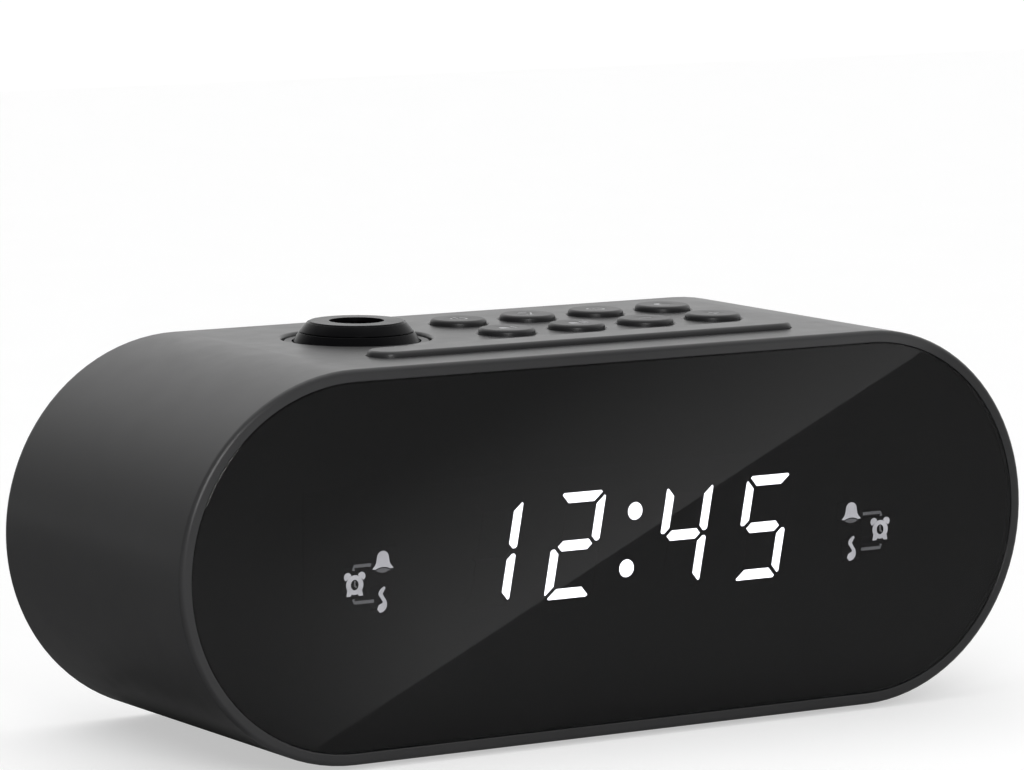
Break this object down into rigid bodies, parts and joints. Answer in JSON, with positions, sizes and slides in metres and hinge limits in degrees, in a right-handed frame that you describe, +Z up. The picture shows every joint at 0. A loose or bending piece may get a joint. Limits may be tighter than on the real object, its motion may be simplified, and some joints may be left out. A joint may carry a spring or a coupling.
{
  "type": "projection alarm clock",
  "caption": "Pill-shaped bedside alarm clock: smoked front lens over a bar-digit display, round keys and a snooze bar on top, and a swivelling ball projector.",
  "frame": {"origin": "centre of the footprint, on the plane under the rubber feet", "axes": "+Z up, +X to the right as seen from the front, +Y from the front lens to the rear cover"},
  "size_m": [0.1854, 0.069, 0.0762],
  "materials": {
    "case_plastic": "fine matt grain on dark grey ABS",
    "trim_plastic": "smooth black plastic",
    "smoked_lens": "polished smoked acrylic",
    "inner_plastic": "black moulded plastic",
    "light_bars": "white light bars",
    "circuit_board": "green solder mask",
    "ribbon_film": "amber film",
    "rubber": "soft moulded rubber",
    "screw_steel": "zinc-plated steel",
    "contact_steel": "nickel-plated spring steel",
    "cell_jacket": "printed steel jacket",
    "clear_optics": "clear moulded optics",
    "red_lamp": "red lamp epoxy",
    "wire_cover": "soft vinyl",
    "chip_epoxy": "moulded epoxy",
    "capacitor_sleeve": "shrunk sleeve",
    "plug_nylon": "natural nylon",
    "cone_paper": "pressed paper cone"
  },
  "bodies": {
    "case": {"case_sleeve": "case_plastic", "front_lens": "smoked_lens", "display_mask": "inner_plastic", "front_frame": "inner_plastic", "display_reflector": "inner_plastic", "lit_segments": "light_bars", "dark_segments": "inner_plastic", "icon_light_boxes": "inner_plastic", "display_pcb": "circuit_board", "display_screws": "screw_steel", "display_ribbon": "ribbon_film", "top_carrier": "inner_plastic", "key_pcb": "circuit_board", "key_pcb_screws": "screw_steel", "key_mat": "rubber", "key_ribbon": "ribbon_film", "projector_lead": "wire_cover", "base_tray": "inner_plastic", "battery_springs": "contact_steel", "battery_contacts": "contact_steel", "backup_cells": "cell_jacket", "main_pcb": "circuit_board", "circuit_chips": "chip_epoxy", "capacitors": "capacitor_sleeve", "board_connectors": "plug_nylon", "main_pcb_screws": "screw_steel", "dc_jack": "inner_plastic", "rear_cover": "case_plastic", "rear_screws": "screw_steel", "rubber_feet": "rubber", "speaker_frame": "screw_steel", "speaker_magnet": "screw_steel", "speaker_cone": "cone_paper", "speaker_screws": "screw_steel", "speaker_leads": "wire_cover"},
    "key_power": {"key_power": "case_plastic"},
    "key_projector": {"key_projector": "case_plastic"},
    "key_memory": {"key_memory": "case_plastic"},
    "key_sleep": {"key_sleep": "case_plastic"},
    "key_alarm_one": {"key_alarm_one": "case_plastic"},
    "key_alarm_two": {"key_alarm_two": "case_plastic"},
    "key_tune_down": {"key_tune_down": "case_plastic"},
    "key_tune_up": {"key_tune_up": "case_plastic"},
    "snooze_bar": {"snooze_bar": "case_plastic"},
    "projector_swivel": {"projector_swivel": "trim_plastic", "pivot_pins": "screw_steel"},
    "projector_ball": {"ball_upper_shell": "trim_plastic", "ball_lower_shell": "trim_plastic", "ball_screws": "screw_steel", "light_tube": "inner_plastic", "condenser_lens": "clear_optics", "shutter_lcd": "clear_optics", "projector_led": "red_lamp", "projector_pcb": "circuit_board"},
    "focus_ring": {"focus_ring": "trim_plastic"},
    "lens_cell": {"lens_cell": "inner_plastic", "projection_lens": "clear_optics"},
    "battery_door": {"battery_door": "case_plastic"}
  },
  "joints": [
    {"name": "press_power", "type": "slide", "parent": "case", "child": "key_power", "axis": [0, 0, -1], "range_m": [0, 0.0007], "stiffness_N_per_m": 900, "springref_m": -0.0004, "deforming": ["key_mat"]},
    {"name": "press_projector", "type": "slide", "parent": "case", "child": "key_projector", "axis": [0, 0, -1], "range_m": [0, 0.0007], "stiffness_N_per_m": 900, "springref_m": -0.0004, "deforming": ["key_mat"]},
    {"name": "press_memory", "type": "slide", "parent": "case", "child": "key_memory", "axis": [0, 0, -1], "range_m": [0, 0.0007], "stiffness_N_per_m": 900, "springref_m": -0.0004, "deforming": ["key_mat"]},
    {"name": "press_sleep", "type": "slide", "parent": "case", "child": "key_sleep", "axis": [0, 0, -1], "range_m": [0, 0.0007], "stiffness_N_per_m": 900, "springref_m": -0.0004, "deforming": ["key_mat"]},
    {"name": "press_alarm_one", "type": "slide", "parent": "case", "child": "key_alarm_one", "axis": [0, 0, -1], "range_m": [0, 0.0007], "stiffness_N_per_m": 900, "springref_m": -0.0004, "deforming": ["key_mat"]},
    {"name": "press_alarm_two", "type": "slide", "parent": "case", "child": "key_alarm_two", "axis": [0, 0, -1], "range_m": [0, 0.0007], "stiffness_N_per_m": 900, "springref_m": -0.0004, "deforming": ["key_mat"]},
    {"name": "press_tune_down", "type": "slide", "parent": "case", "child": "key_tune_down", "axis": [0, 0, -1], "range_m": [0, 0.0007], "stiffness_N_per_m": 900, "springref_m": -0.0004, "deforming": ["key_mat"]},
    {"name": "press_tune_up", "type": "slide", "parent": "case", "child": "key_tune_up", "axis": [0, 0, -1], "range_m": [0, 0.0007], "stiffness_N_per_m": 900, "springref_m": -0.0004, "deforming": ["key_mat"]},
    {"name": "press_snooze", "type": "slide", "parent": "case", "child": "snooze_bar", "axis": [0, 0, -1], "range_m": [0, 0.0007], "stiffness_N_per_m": 1200, "springref_m": -0.0004, "deforming": ["key_mat"]},
    {"name": "projector_turn", "type": "hinge", "parent": "case", "child": "projector_swivel", "pos_m": [-0.0321, 0.0073, 0.0666], "axis": [0, 0, 1], "range_deg": [-90, 90], "deforming": ["projector_lead"]},
    {"name": "projector_tilt", "type": "hinge", "parent": "projector_swivel", "child": "projector_ball", "pos_m": [-0.0321, 0.0073, 0.0666], "axis": [1, 0, 0], "range_deg": [-30, 30], "deforming": ["projector_lead"]},
    {"name": "focus_turn", "type": "hinge", "parent": "projector_ball", "child": "focus_ring", "pos_m": [-0.0321, 0.0073, 0.0666], "axis": [0, 0, 1], "range_deg": [-45, 45]},
    {"name": "lens_travel", "type": "slide", "parent": "projector_ball", "child": "lens_cell", "axis": [0, 0, 1], "range_m": [-0.0003, 0.0003]},
    {"name": "battery_door_open", "type": "hinge", "parent": "case", "child": "battery_door", "pos_m": [0, -0.0008, 0.00195], "axis": [-1, 0, 0], "range_deg": [0, 70]}
  ],
  "couplings": [
    {"joint": "lens_travel", "follows": "focus_turn", "m_per_rad": 0.00035}
  ]
}
